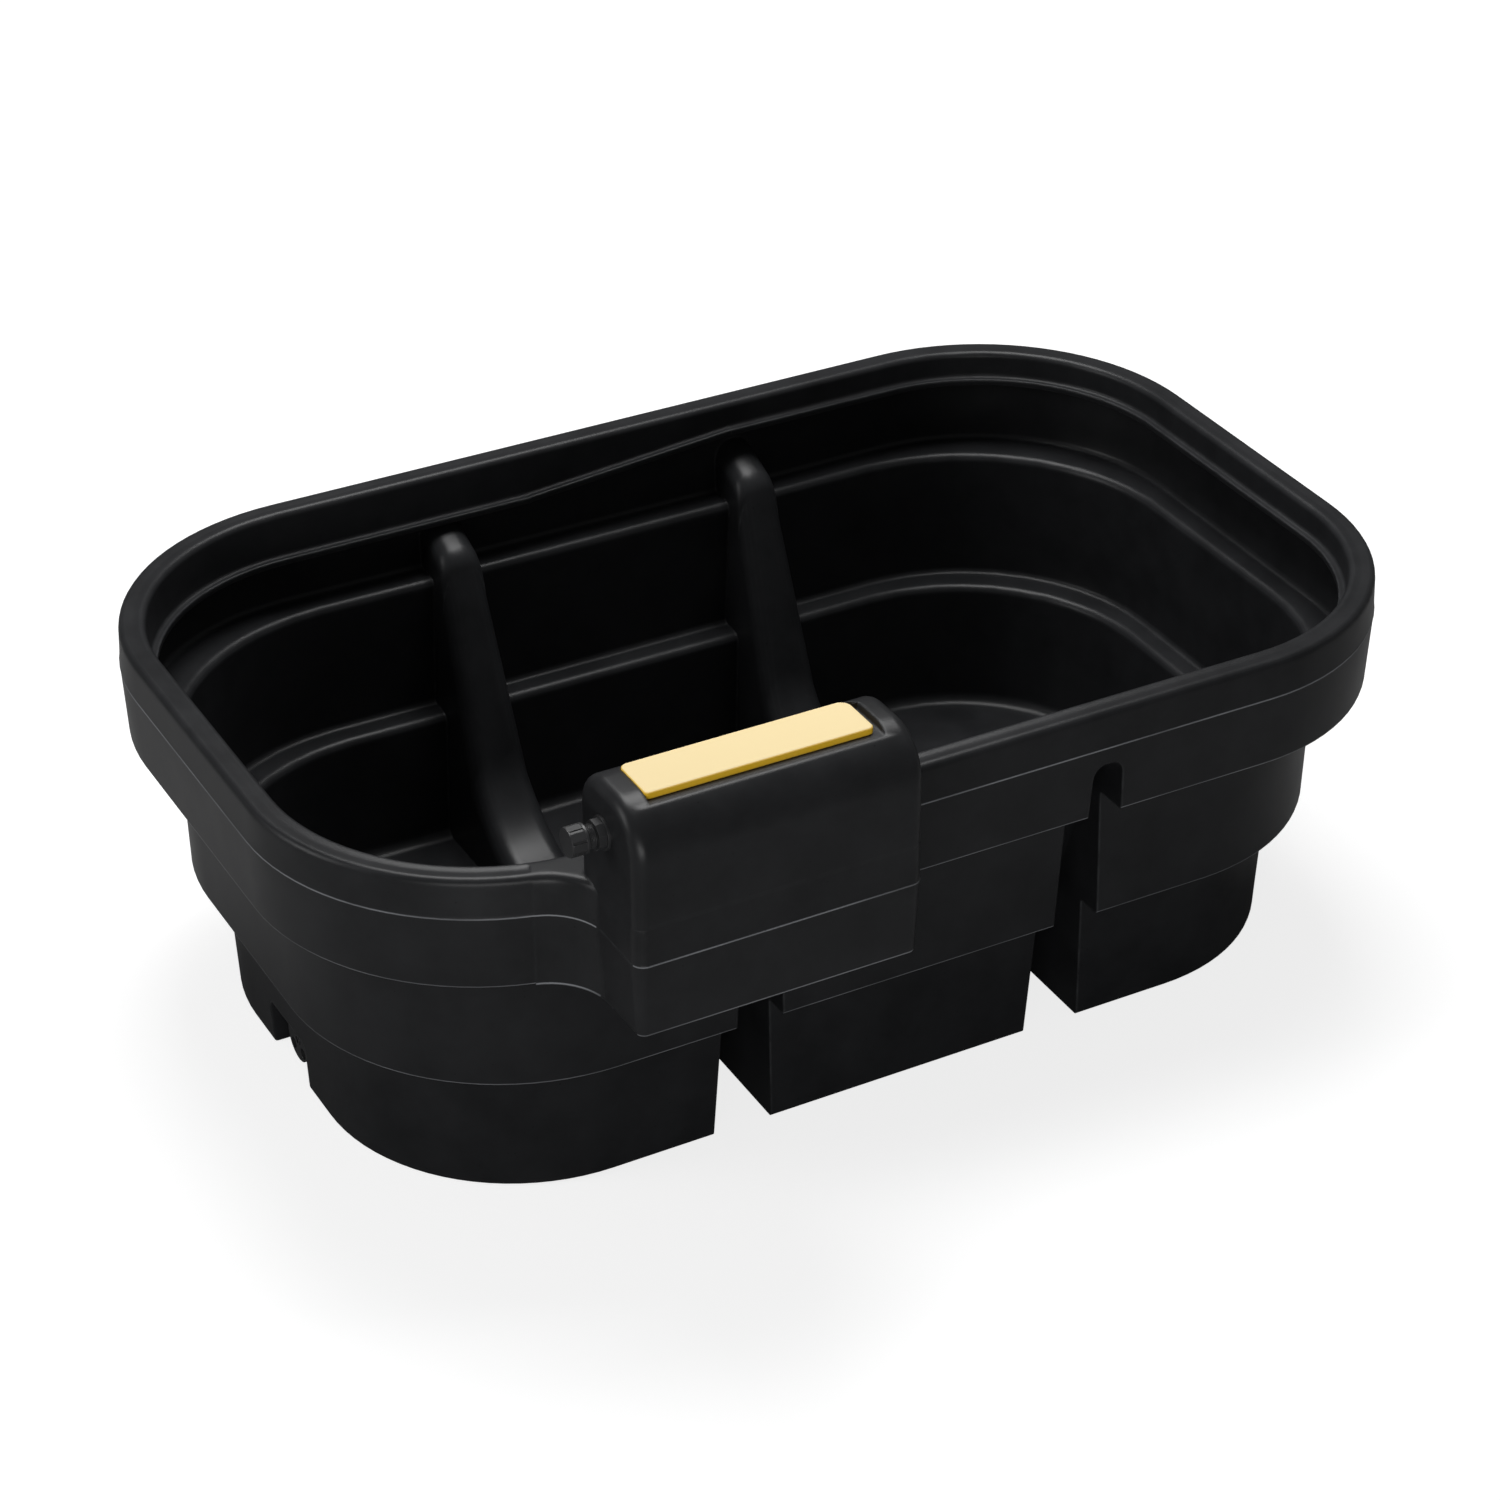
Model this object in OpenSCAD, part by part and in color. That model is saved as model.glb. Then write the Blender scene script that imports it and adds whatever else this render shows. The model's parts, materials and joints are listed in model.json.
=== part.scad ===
/* [Basin] */
// Half of the overall length, at the widest line of the upper band
half_length = 750; // [740:1:760]
// Half of the width of the band without the valve housing
half_width = 474; // [468:1:480]
// Corner radius of the band in plan
band_corner = 300; // [290:1:310]
// Height of the rim above the ground
rim_height = 515; // [513:1:518]
// Wall thickness of the moulding
wall = 7; // [6:0.5:8]

/* [Steps] */
// Height of the upper step, the underside of the band
step_1_z = 368; // [366:1:370]
// Height of the lower step
step_2_z = 184; // [182:1:186]
// How far the middle tier stands in from the band
tier_2_inset = 50; // [49:0.5:51]
// How far the lowest tier stands in from the band
tier_3_inset = 90; // [89:0.5:91]

/* [Tunnels] */
// Distance of each fork tunnel from the middle
tunnel_x = 220; // [218:0.5:222]
// Half width of a tunnel at the ground
tunnel_half_w = 39.5; // [38:0.5:41]
// Crown height of the rib over a tunnel, in the middle of the basin
crown_z = 50; // [48:1:54]

/* [Valve housing] */
// Left end of the housing
box_left = -475.5; // [-477.5:0.5:-474]
// Right end of the housing
box_right = -117; // [-119:1:-115]
// Front of the housing
box_front = -611; // [-613:1:-609]
// Top of the housing
box_top = 655; // [653:1:657]

/* [Lid] */
// Length of the lid
lid_l = 283; // [280:1:285]
// Depth of the lid, front to back
lid_w = 66; // [64:1:67]
// Thickness of the lid plate
lid_t = 8; // [7:0.5:8.5]

/* [Inlet] */
// Height of the water inlet
inlet_z = 598; // [595:1:600]
// Radius of the threaded stem, a G3/4 pipe thread
stem_r = 13.2; // [13.1:0.1:13.3]
// Width of the lock nut across its flats
lock_nut_af = 33; // [32:0.5:35]

/* [Drain] */
// Height of the drain's centre
drain_z = 36.5; // [36:0.5:38]
// Radius of the drain plug's head
plug_r = 30; // [28:0.5:30.5]

/* [Hidden] */
$fn = 128;

black = [0.09, 0.092, 0.096];
yellow = [0.98, 0.78, 0.2];
steel = [0.72, 0.72, 0.74];
rubber = [0.05, 0.05, 0.05];
float_grey = [0.78, 0.79, 0.78];

// Outline sizes of each tier: centre of the corner arcs and the radius at its widest level
band_cx = half_length - band_corner;
band_cy = half_width - band_corner;
tier_2_r = 292;
tier_2_cx = half_length - tier_2_inset - tier_2_r;
tier_2_cy = half_width - tier_2_inset - tier_2_r;
tier_3_r = 265.5;
tier_3_cx = half_length - tier_3_inset - tier_3_r;
tier_3_cy = half_width - tier_3_inset - tier_3_r;

parting_z = 464.5;         // widest line, where the two halves of the mould meet
floor_z = 7.5;
ledge_1_z = step_1_z + wall;
ledge_2_z = step_2_z + wall;

// Depths inwards from the band's widest outline
wall_foot_inset = 18;      // inner face of the band where it meets its ledge
rim_gap_inset = 28;        // outer face of the skirt that hangs inside the rim
mouth_inset = 35.6;        // inner face of that skirt
flange_inset = 45;         // trimmed edge of the inward flange
flange_t = 8;
skirt_root_z = 495;        // where the skirt grows out of the rim
skirt_top = skirt_root_z + 2;
low_flange_z = 445;        // underside of the flange, left part of the mouth
high_flange_z = 470;       // underside of the flange, right part of the mouth
ramp_from = -100;          // the flange climbs from one to the other between these
ramp_to = 200;

// ---------------------------------------------------------------- outlines

function arc(c, r, from, to, steps) =
    [for (i = [0:steps]) let (a = from + (to - from) * i / steps) c + r * [cos(a), sin(a)]];

function mirrored(points) = [for (i = [len(points) - 1:-1:0]) [-points[i][0], points[i][1]]];

function shifted(points, d) = [for (p = points) [p[0] + d, p[1]]];

// A skin through sections that all have the same number of points, closed at both ends
module loft(sections) {
    n = len(sections[0]);
    m = len(sections);
    points = [for (s = sections) each s];
    sides = [for (j = [0:m - 2], i = [0:n - 1])
        let (a = j * n + i, b = j * n + (i + 1) % n)
        each [[a, b, b + n], [a, b + n, a + n]]];
    start = [[for (i = [n - 1:-1:0]) i]];
    finish = [[for (i = [0:n - 1]) (m - 1) * n + i]];
    polyhedron(points, concat(sides, start, finish));
}

// Sweeps a wall section round a rounded rectangle. The section's first coordinate is the
// distance outwards from the centres of the corner arcs; it starts and ends at zero.
module swept_block(cx, cy, section) {
    for (corner = [[1, 1, 0], [-1, 1, 90], [-1, -1, 180], [1, -1, 270]])
        translate([corner[0] * cx, corner[1] * cy, 0])
            rotate([0, 0, corner[2]])
                rotate_extrude(angle = 90) polygon(section);
    across = shifted(section, cy);
    translate([-cx, 0, 0])
        rotate([90, 0, 90])
            linear_extrude(2 * cx) polygon(concat(across, mirrored(across)));
    along = shifted(section, cx);
    translate([0, cy, 0])
        rotate([90, 0, 0])
            linear_extrude(2 * cy) polygon(concat(along, mirrored(along)));
}

// ---------------------------------------------------------------- wall sections

// Outside of the band with its rolled rim, from the underside to the dished top
band_section = concat(
    [[0, step_1_z]],
    arc([band_corner - 3.8 - 5, step_1_z + 5], 5, -90, 0, 3),
    [
        [band_corner, parting_z - 1],
        [band_corner + 0.6, parting_z],
        [band_corner, parting_z + 1],
        [band_corner - 1.8, rim_height - 14]
    ],
    arc([band_corner - 10, rim_height - 8.2], 8, 0, 90, 4),
    [
        [band_corner - 18, rim_height - 1.6],
        [band_corner - 23, rim_height - 1.6],
        [band_corner - 29, rim_height],
        [0, rim_height]
    ]
);

tier_2_section = concat(
    [[0, step_2_z]],
    arc([tier_2_r - 3.4 - 5, step_2_z + 5], 5, -90, 0, 3),
    [[tier_2_r, step_1_z - 4], [tier_2_r + 4, step_1_z + 1], [0, step_1_z + 1]]
);

tier_3_section = concat(
    [[0, 0]],
    arc([tier_3_r - 8 - 5, 5], 5, -90, 0, 3),
    [[tier_3_r, step_2_z - 4], [tier_3_r + 4, step_2_z + 1], [0, step_2_z + 1]]
);

// Inside of the band: ledge, wall, hollow of the rim, the root of its skirt and the mouth
band_inside = concat(
    [[0, ledge_1_z]],
    arc([band_corner - wall_foot_inset - 8, ledge_1_z + 8], 8, -90, 0, 4),
    [[band_corner - wall, parting_z]],
    arc([band_corner - wall - 2 - 5, rim_height - wall - 5], 5, 0, 90, 2),
    arc([band_corner - rim_gap_inset + 5, rim_height - wall - 5], 5, 90, 180, 2),
    [[band_corner - rim_gap_inset, skirt_root_z], [band_corner - mouth_inset, skirt_root_z]],
    arc([band_corner - mouth_inset + 8, rim_height - 8], 8, 180, 90, 5),
    [[band_corner - mouth_inset + 8, rim_height + 2], [0, rim_height + 2]]
);

// The skirt that hangs inside the rim, with the flange along its lower edge
function skirt_section(low, top) = concat(
    [
        [band_corner - rim_gap_inset, top],
        [band_corner - rim_gap_inset, low + 19],
        [band_corner - rim_gap_inset - 3, low + 8],
        [band_corner - rim_gap_inset - 10, low],
        [band_corner - flange_inset, low],
        [band_corner - flange_inset, low + flange_t]
    ],
    arc([band_corner - mouth_inset - 5, low + flange_t + 5], 5, -90, 0, 3),
    [[band_corner - mouth_inset, top]]
);

// Inside of a lower tier: its floor fillet, its wall and the rounded lip of the ledge above
function tier_inside(bottom_r, top_r, bottom_z, top_z, fillet, lip) = concat(
    [[0, bottom_z]],
    arc([bottom_r - fillet, bottom_z + fillet], fillet, -90, 0, 4),
    arc([top_r + lip, top_z - lip], lip, 180, 90, 4),
    [[top_r + lip, top_z + 2], [0, top_z + 2]]
);

// ---------------------------------------------------------------- tunnels and ribs

// The crest of a rib seen from the end: a shallow slope off the wall, a shoulder, a steep run
// and a wide curve that levels out over the middle of the basin
shoulder_angle = 23.3;
steep_angle = 69.6;
shoulder_r = 40;
shoulder_c = [425, 385];
foot_r = 170;
foot_c = [139.8, crown_z + foot_r];

function tunnel_hw(z) = tunnel_half_w - 0.0436 * z;

// Each entry is [y, z, slope angle] of the crest, lowered by d towards the ground. The shoulder
// takes that many steps and the foot twice as many.
function crest(d, end_y, steps) = concat(
    [let (a = shoulder_angle, p = shoulder_c + (shoulder_r - d) * [-sin(a), cos(a)])
        [end_y, p[1] + (end_y - p[0]) * tan(a), a]],
    [for (i = [0:steps]) let (a = shoulder_angle + (steep_angle - shoulder_angle) * i / steps,
        p = shoulder_c + (shoulder_r - d) * [-sin(a), cos(a)]) [p[0], p[1], a]],
    [for (i = [0:2 * steps]) let (a = steep_angle * (1 - i / 2 / steps),
        p = foot_c + (foot_r + d) * [sin(a), -cos(a)]) [p[0], p[1], a]]
);

function crest_through(d, front_y, back_y, steps) = concat(
    [for (p = crest(d, -front_y, steps)) [-p[0], p[1], p[2]]],
    let (back = crest(d, back_y, steps)) [for (i = [len(back) - 1:-1:0]) back[i]]
);

// One section across a tunnel: straight leaning sides and a rounded crown
function tunnel_section(place, grow, edge, low_z) =
    let (
        y = place[0],
        z = place[1],
        rise = edge / cos(place[2]),
        crown = [for (i = [0:5]) [1 - cos(18 * i), sin(18 * i)]],
        side = concat([[tunnel_hw(low_z) + grow, low_z]], [for (c = crown)
            let (pz = z - rise * (1 - c[1])) [tunnel_hw(pz) + grow - edge * c[0], pz]])
    )
    concat([for (p = side) [p[0], y, p[1]]],
        [for (i = [len(side) - 1:-1:0]) [-side[i][0], y, side[i][1]]]);

module tunnel(d, grow, edge, low_z, front_y, steps) {
    loft([for (place = crest_through(d, front_y, 490, steps))
        tunnel_section(place, grow, edge, low_z)]);
}

// The left tunnel ends under the valve housing at the front, the right one runs right out
module tunnels() {
    translate([-tunnel_x, 0, 0]) tunnel(wall, 0, 16, -10, -468, 4);
    translate([tunnel_x, 0, 0]) tunnel(wall, 0, 16, -10, -490, 4);
}

module ribs() {
    translate([-tunnel_x, 0, 0]) tunnel(0, wall, 23, -5, -475, 7);
    translate([tunnel_x, 0, 0]) tunnel(0, wall, 23, -5, -490, 7);
}

// ---------------------------------------------------------------- valve housing

bulge_left = box_left - 1;
bulge_right = box_right + 1;
crease_z = rim_height - 4;   // a shallow crease where the upper part grows out of the lower
crease_depth = 1.4;
housing_edge_r = 15;
top_arc_r = 60;
back_arc_r = 46;
box_back = -472;
top_arc_c = [box_front + top_arc_r, box_top - top_arc_r];
back_arc_c = [box_back - back_arc_r, box_top - back_arc_r];

// End view of the housing above the band, drawn in by an inset: [y, z] points
function housing_profile(inset, low_z) = concat(
    [
        [box_front + inset + 4, low_z],
        [box_front + inset + crease_depth, crease_z],
        [box_front + inset, crease_z + 7]
    ],
    arc(top_arc_c, top_arc_r - inset, 180, 90, 12),
    arc(back_arc_c, back_arc_r - inset, 90, 0, 9),
    [[box_back - inset, low_z]]
);

module housing_upper() {
    r = housing_edge_r;
    places = concat(
        [for (i = [0:6]) let (a = 15 * i) [box_left + r * (1 - cos(a)), r * (1 - sin(a))]],
        [for (i = [6:-1:0]) let (a = 15 * i) [box_right - r * (1 - cos(a)), r * (1 - sin(a))]]
    );
    loft([for (p = places) [for (q = housing_profile(p[1], rim_height - 20)) [p[0], q[0], q[1]]]]);
}

module housing_bulge() {
    r = housing_edge_r;
    section = concat(
        [[0, step_1_z]],
        arc([r - 3.8 - 4, step_1_z + 4], 4, -90, 0, 2),
        [
            [r, parting_z - 1],
            [r + 0.6, parting_z],
            [r, parting_z + 1],
            [r - crease_depth, crease_z],
            [r - crease_depth - 3, crease_z + 3],
            [0, crease_z + 3]
        ]
    );
    back_y = -400;
    translate([(bulge_right + bulge_left) / 2, (box_front + back_y) / 2, 0])
        swept_block((bulge_right - bulge_left) / 2 - r, (back_y - box_front) / 2 - r, section);
}

// The concave flare that leads the band into the side of the housing
flare_r = 75;
flare_c = [-550.5, -535.7];

function flare_section(a, skin) =
    let (
        h = rim_height - skin,
        low = step_1_z + skin,
        depths = concat(
            [[3.8, low], [0, parting_z], [1.8, h - 12]],
            [for (i = [1:5]) [1.8 + 10 * (1 - cos(18 * i)), h - 10 + 10 * sin(18 * i)]],
            [[60, h], [60, low]]
        )
    )
    [for (p = depths) [
        flare_c[0] + (flare_r + skin + p[0]) * cos(a),
        flare_c[1] + (flare_r + skin + p[0]) * sin(a),
        p[1]
    ]];

module flare(skin) {
    loft([for (i = [12:-1:0]) flare_section(-4 + 77 * i / 12, skin)]);
}

module flares(skin) {
    flare(skin);
    // The right flare runs off the straight front of the band
    translate([box_right + box_left, 0, 0]) mirror([1, 0, 0]) flare(skin);
}

lid_left = -441;
lid_back = -502;
lid_right = lid_left + lid_l;
lid_front = lid_back - lid_w;
recess_z = 648;
recess_right = -151;
ledge = 8;

module rounded_slab(x0, x1, y0, y1, z0, z1, r) {
    translate([(x0 + x1) / 2, (y0 + y1) / 2, 0])
        swept_block((x1 - x0) / 2 - r, (y1 - y0) / 2 - r, [[0, z0], [r, z0], [r, z1], [0, z1]]);
}

// The recess is open at the front and leans back at its right end
module lid_recess() {
    rounded_slab(lid_left - 0.4, recess_right, -640, lid_back + 0.4, recess_z, box_top + 5, 9);
    translate([0, lid_back - 9, 0])
        rotate([90, 0, 0])
            linear_extrude(100)
                polygon([[recess_right - 10, recess_z], [recess_right, recess_z],
                    [recess_right + 4, box_top], [recess_right + 4, box_top + 5],
                    [recess_right - 10, box_top + 5]]);
}

aperture = [lid_left + ledge, lid_right - ledge, lid_front + ledge, lid_back - ledge];

module lid_aperture() {
    rounded_slab(aperture[0], aperture[1], aperture[2], aperture[3], recess_z - 20, box_top + 5, 8);
}

module housing_hollow() {
    translate([box_left + wall, 0, 0])
        rotate([90, 0, 90])
            linear_extrude(box_right - box_left - 2 * wall)
                polygon(housing_profile(wall, rim_height - 15));
    r = 6;
    section = concat([[0, ledge_1_z]], arc([r - 5, ledge_1_z + 5], 5, -90, 0, 2),
        [[r, crease_z - wall], [0, crease_z - wall]]);
    x0 = bulge_left + wall;
    x1 = bulge_right - wall;
    y0 = box_front + wall;
    y1 = -449;
    translate([(x0 + x1) / 2, (y0 + y1) / 2, 0])
        swept_block((x1 - x0) / 2 - r, (y1 - y0) / 2 - r, section);
}

// The moulding stays thick round the lid's seat
module lid_seat() {
    translate([box_left, -596, recess_z - wall])
        cube([box_right - box_left, 110, box_top]);
}

// ---------------------------------------------------------------- drain recess

recess_half_w = 56;
recess_top = 68;
recess_x = -610;

module drain_recess(skin) {
    r = 14 + skin;
    hw = recess_half_w + skin;
    top = recess_top + skin;
    outline = concat([[hw, -10]], arc([hw - r, top - r], r, 0, 90, 4),
        arc([r - hw, top - r], r, 90, 180, 4), [[-hw, -10]]);
    translate([-760, 0, 0])
        rotate([90, 0, 90])
            linear_extrude(760 + recess_x + skin) polygon(outline);
}

// ---------------------------------------------------------------- the moulding

module outside() {
    difference() {
        union() {
            swept_block(band_cx, band_cy, band_section);
            swept_block(tier_2_cx, tier_2_cy, tier_2_section);
            swept_block(tier_3_cx, tier_3_cy, tier_3_section);
            housing_bulge();
            housing_upper();
            flares(0);
        }
        tunnels();
        drain_recess(0);
    }
}

module inside() {
    difference() {
        union() {
            swept_block(band_cx, band_cy, band_inside);
            swept_block(tier_2_cx, tier_2_cy, tier_inside(
                tier_2_r - 3.4 - wall, tier_2_r - wall, ledge_2_z, ledge_1_z, 8, 11));
            swept_block(tier_3_cx, tier_3_cy, tier_inside(
                tier_3_r - 8 - wall, tier_3_r - wall, floor_z, ledge_2_z, 16, 11));
            difference() {
                housing_hollow();
                lid_seat();
            }
        }
        ribs();
        drain_recess(wall);
    }
}

// One straight run of a band section along X, on the side away from the housing
module long_run(from, to, section) {
    translate([from, band_cy, 0]) rotate([90, 0, 90]) linear_extrude(to - from) polygon(section);
}

// The sloping part of the skirt: a plate over a flange that climbs. The flange is rooted inside
// the plate, reaches a little into the level parts and stands a little above them.
module skirt_ramp() {
    run = ramp_to - ramp_from;
    rise = high_flange_z - low_flange_z;
    slope = atan(rise / run);
    step = 0.4;
    lap = 1.2;
    flange = concat(
        [
            [band_corner - mouth_inset + 2.6, 0],
            [band_corner - flange_inset + step, 0],
            [band_corner - flange_inset + step, flange_t]
        ],
        arc([band_corner - mouth_inset - 4, flange_t + 5], 5, -90, 0, 3),
        [[band_corner - mouth_inset + 2.6, flange_t + 5]]
    );
    intersection() {
        translate([ramp_from, 0, low_flange_z + step])
            rotate([0, -slope, 0])
                long_run(-5, run / cos(slope) + 5, flange);
        translate([ramp_from - lap, 0, low_flange_z - 10]) cube([run + 2 * lap, half_width, 80]);
    }
    translate([0, half_width - rim_gap_inset, 0])
        rotate([90, 0, 0])
            linear_extrude(mouth_inset - rim_gap_inset)
                polygon([[ramp_from - lap, low_flange_z + 4], [ramp_to + lap, high_flange_z + 4],
                    [ramp_to + lap, skirt_top], [ramp_from - lap, skirt_top]]);
}

// The skirt's flange runs low round the left end, climbs along both sides and runs high round
// the right end
module skirt() {
    low = skirt_section(low_flange_z, skirt_top);
    high = skirt_section(high_flange_z, skirt_top);
    for (turn = [90, 180])
        translate([-band_cx, (turn == 90 ? 1 : -1) * band_cy, 0])
            rotate([0, 0, turn]) rotate_extrude(angle = 90) polygon(low);
    for (turn = [0, 270])
        translate([band_cx, (turn == 0 ? 1 : -1) * band_cy, 0])
            rotate([0, 0, turn]) rotate_extrude(angle = 90) polygon(high);
    translate([-band_cx, -band_cy, 0])
        rotate([90, 0, 180]) linear_extrude(2 * band_cy) polygon(low);
    translate([band_cx, band_cy, 0])
        rotate([90, 0, 0]) linear_extrude(2 * band_cy) polygon(high);
    for (side = [0, 1])
        mirror([0, side, 0]) {
            long_run(-band_cx, ramp_from, low);
            skirt_ramp();
            long_run(ramp_to, band_cx, high);
        }
}

module trough_shell() {
    color(black) {
        skirt();
        difference() {
            outside();
            inside();
            lid_recess();
            lid_aperture();
            translate([box_left - 10, inlet_y, inlet_z]) rotate([0, 90, 0])
                cylinder(h = 30, r = stem_r + 0.5);
            translate([recess_x - 10, 0, drain_z]) rotate([0, 90, 0])
                cylinder(h = 30, r = drain_barrel_r + 0.4);
        }
    }
}

// ---------------------------------------------------------------- lid

// The plate has its own radius at each corner: [x side, y side, radius, turn]
lid_corners = [[1, 1, 14, 0], [-1, 1, 10, 90], [-1, -1, 5, 180], [1, -1, 8, 270]];

function lid_edge(r, z0, z1) =
    concat([[0, z0], [r, z0]], arc([r - 2.5, z1 - 2.5], 2.5, 0, 90, 3), [[0, z1]]);

// A straight side of the plate from one corner to the next, as deep as half the plate
module lid_side(from, to, depth, z0, z1) {
    translate([0, from, 0]) mirror([0, 1, 0]) rotate([90, 0, 0])
        linear_extrude(to - from) polygon(lid_edge(depth, z0, z1));
}

module lid_plate(z0, z1) {
    hl = lid_l / 2;
    hw = lid_w / 2;
    translate([lid_left + hl, lid_back - hw, 0]) {
        for (c = lid_corners)
            translate([c[0] * (hl - c[2]), c[1] * (hw - c[2]), 0])
                rotate([0, 0, c[3]])
                    rotate_extrude(angle = 90) polygon(lid_edge(c[2], z0, z1));
        lid_side(-hw + lid_corners[3][2], hw - lid_corners[0][2], hl, z0, z1);
        rotate([0, 0, 90])
            lid_side(-hl + lid_corners[0][2], hl - lid_corners[1][2], hw, z0, z1);
        rotate([0, 0, 180])
            lid_side(-hw + lid_corners[1][2], hw - lid_corners[2][2], hl, z0, z1);
        rotate([0, 0, 270])
            lid_side(-hl + lid_corners[2][2], hl - lid_corners[3][2], hw, z0, z1);
    }
}

module service_lid() {
    z0 = recess_z + 0.3;
    spigot = 3;
    gap = 0.8;
    s = [aperture[0] + gap, aperture[1] - gap, aperture[2] + gap, aperture[3] - gap];
    color(yellow) {
        lid_plate(z0, z0 + lid_t);
        difference() {
            rounded_slab(s[0], s[1], s[2], s[3], z0 - 12, z0 + 1, 7);
            rounded_slab(s[0] + spigot, s[1] - spigot, s[2] + spigot, s[3] - spigot,
                z0 - 13, z0 + 0.5, 5);
        }
        for (i = [1:3])
            translate([s[0] + (s[1] - s[0]) * i / 4 - 1.5, s[2] + 1, z0 - 8])
                cube([3, s[3] - s[2] - 2, 8.5]);
    }
}

// ---------------------------------------------------------------- water inlet

inlet_y = -533;
washer_t = 3;
washer_r = 20;
nut_t = 9.2;
stem_end = -512.7;
stem_bore_r = 9.5;
cap_r = 17.6;
cap_l = 20.6;
cap_end = -519.3;
cap_end_t = 4.5;

module along_x(x, y, z) {
    translate([x, y, z]) rotate([0, 90, 0]) children();
}

module inlet_washer() {
    color(black)
        along_x(box_left - washer_t, inlet_y, inlet_z)
            difference() {
                cylinder(h = washer_t, r = washer_r);
                translate([0, 0, -1]) cylinder(h = washer_t + 2, r = stem_r + 0.1);
            }
}

module inlet_lock_nut() {
    across = lock_nut_af / cos(22.5) / 2;
    color(black)
        along_x(box_left - washer_t - nut_t, inlet_y, inlet_z)
            difference() {
                rotate([0, 0, 22.5]) cylinder(h = nut_t, r = across, $fn = 8);
                translate([0, 0, -1]) cylinder(h = nut_t + 2, r = stem_r + 0.1);
            }
}

module inlet_cap() {
    ribs = 8;
    color(black)
        along_x(cap_end, inlet_y, inlet_z)
            difference() {
                union() {
                    cylinder(h = cap_l, r = cap_r - 1.4);
                    cylinder(h = 2, r = cap_r - 0.7);
                    translate([0, 0, cap_l - 3]) cylinder(h = 3, r = cap_r);
                    for (i = [0:ribs - 1])
                        rotate([0, 0, i * 360 / ribs])
                            translate([cap_r - 6, -4.8, 1]) cube([5.3, 9.6, cap_l - 3]);
                }
                translate([0, 0, cap_end_t]) cylinder(h = 30, r = stem_r + 0.1);
            }
}

module inlet_cap_seal() {
    color(rubber)
        along_x(cap_end + cap_end_t, inlet_y, inlet_z)
            difference() {
                cylinder(h = 2, r = stem_r - 0.2);
                translate([0, 0, -1]) cylinder(h = 5, r = stem_bore_r);
            }
}

module inlet_inner_seal() {
    color(rubber)
        along_x(box_left + wall, inlet_y, inlet_z)
            difference() {
                cylinder(h = washer_t, r = washer_r);
                translate([0, 0, -1]) cylinder(h = washer_t + 2, r = stem_r + 0.1);
            }
}

// ---------------------------------------------------------------- float valve

flange_x = box_left + wall + washer_t;
barrel_r = 16;
barrel_end = -408;
seat_x = -432.7;
valve_gap = 2.6;   // the piston's travel from open to shut
piston_r = 12;
pivot_x = -399.7;
pivot_z = inlet_z - 15;
ear_half = 7;

module valve_body() {
    color(black)
        difference() {
            union() {
                along_x(stem_end, inlet_y, inlet_z) cylinder(h = flange_x - stem_end + 1, r = stem_r);
                along_x(flange_x, inlet_y, inlet_z) cylinder(h = 5, r = washer_r);
                along_x(flange_x + 1, inlet_y, inlet_z)
                    cylinder(h = barrel_end - flange_x - 1, r = barrel_r);
                for (side = [-1, 1])
                    translate([-424, inlet_y + side * (ear_half + 2) - 2, pivot_z - 7])
                        cube([pivot_x + 6 + 424, 4, 14]);
            }
            along_x(stem_end - 1, inlet_y, inlet_z) cylinder(h = seat_x - 5 - stem_end, r = stem_bore_r);
            along_x(seat_x - 6, inlet_y, inlet_z)
                cylinder(h = pivot_x + 10 - seat_x + 6, r = piston_r + 0.06);
            translate([seat_x + 1, inlet_y - 7, inlet_z - barrel_r - 3]) cube([9, 14, 12]);
            translate([pivot_x, inlet_y + 20, pivot_z]) rotate([90, 0, 0]) cylinder(h = 40, r = 2.5);
        }
}

module valve_seat() {
    color(yellow)
        along_x(seat_x - 6, inlet_y, inlet_z)
            difference() {
                union() {
                    cylinder(h = 3, r = piston_r);
                    cylinder(h = 6, r = 8);
                }
                translate([0, 0, -1]) cylinder(h = 8, r = 5);
            }
}

module piston_washer() {
    color(rubber) along_x(seat_x + valve_gap, inlet_y, inlet_z) cylinder(h = 3, r = 9.5);
}

module valve_piston() {
    color(float_grey)
        along_x(seat_x + valve_gap + 3, inlet_y, inlet_z)
            cylinder(h = pivot_x - 4.3 - seat_x - valve_gap - 3, r = piston_r);
}

rod_x = -225;

module float_lever() {
    color(float_grey)
        difference() {
            union() {
                translate([pivot_x, inlet_y + ear_half - 0.5, pivot_z]) rotate([90, 0, 0])
                    cylinder(h = 2 * ear_half - 1, r = 4.5);
                translate([pivot_x - 4, inlet_y - 5, pivot_z]) cube([8, 10, 15]);
                translate([pivot_x, inlet_y + 5, inlet_z]) rotate([90, 0, 0]) cylinder(h = 10, r = 4);
                translate([pivot_x, inlet_y - 5, pivot_z - 3]) cube([rod_x - pivot_x, 10, 6]);
                translate([rod_x, inlet_y, pivot_z - 6]) cylinder(h = 12, r = 9);
            }
            translate([pivot_x, inlet_y + 20, pivot_z]) rotate([90, 0, 0]) cylinder(h = 40, r = 2.55);
            translate([rod_x, inlet_y, pivot_z - 10]) cylinder(h = 20, r = 3.05);
        }
}

module lever_pin() {
    color(steel)
        translate([pivot_x, inlet_y + ear_half + 5, pivot_z]) rotate([90, 0, 0]) {
            cylinder(h = 2 * ear_half + 10, r = 2.5);
            translate([0, 0, -1.5]) cylinder(h = 2.5, r = 4);
        }
}

float_r = 45;
float_h = 56;
float_top = 443;

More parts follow.
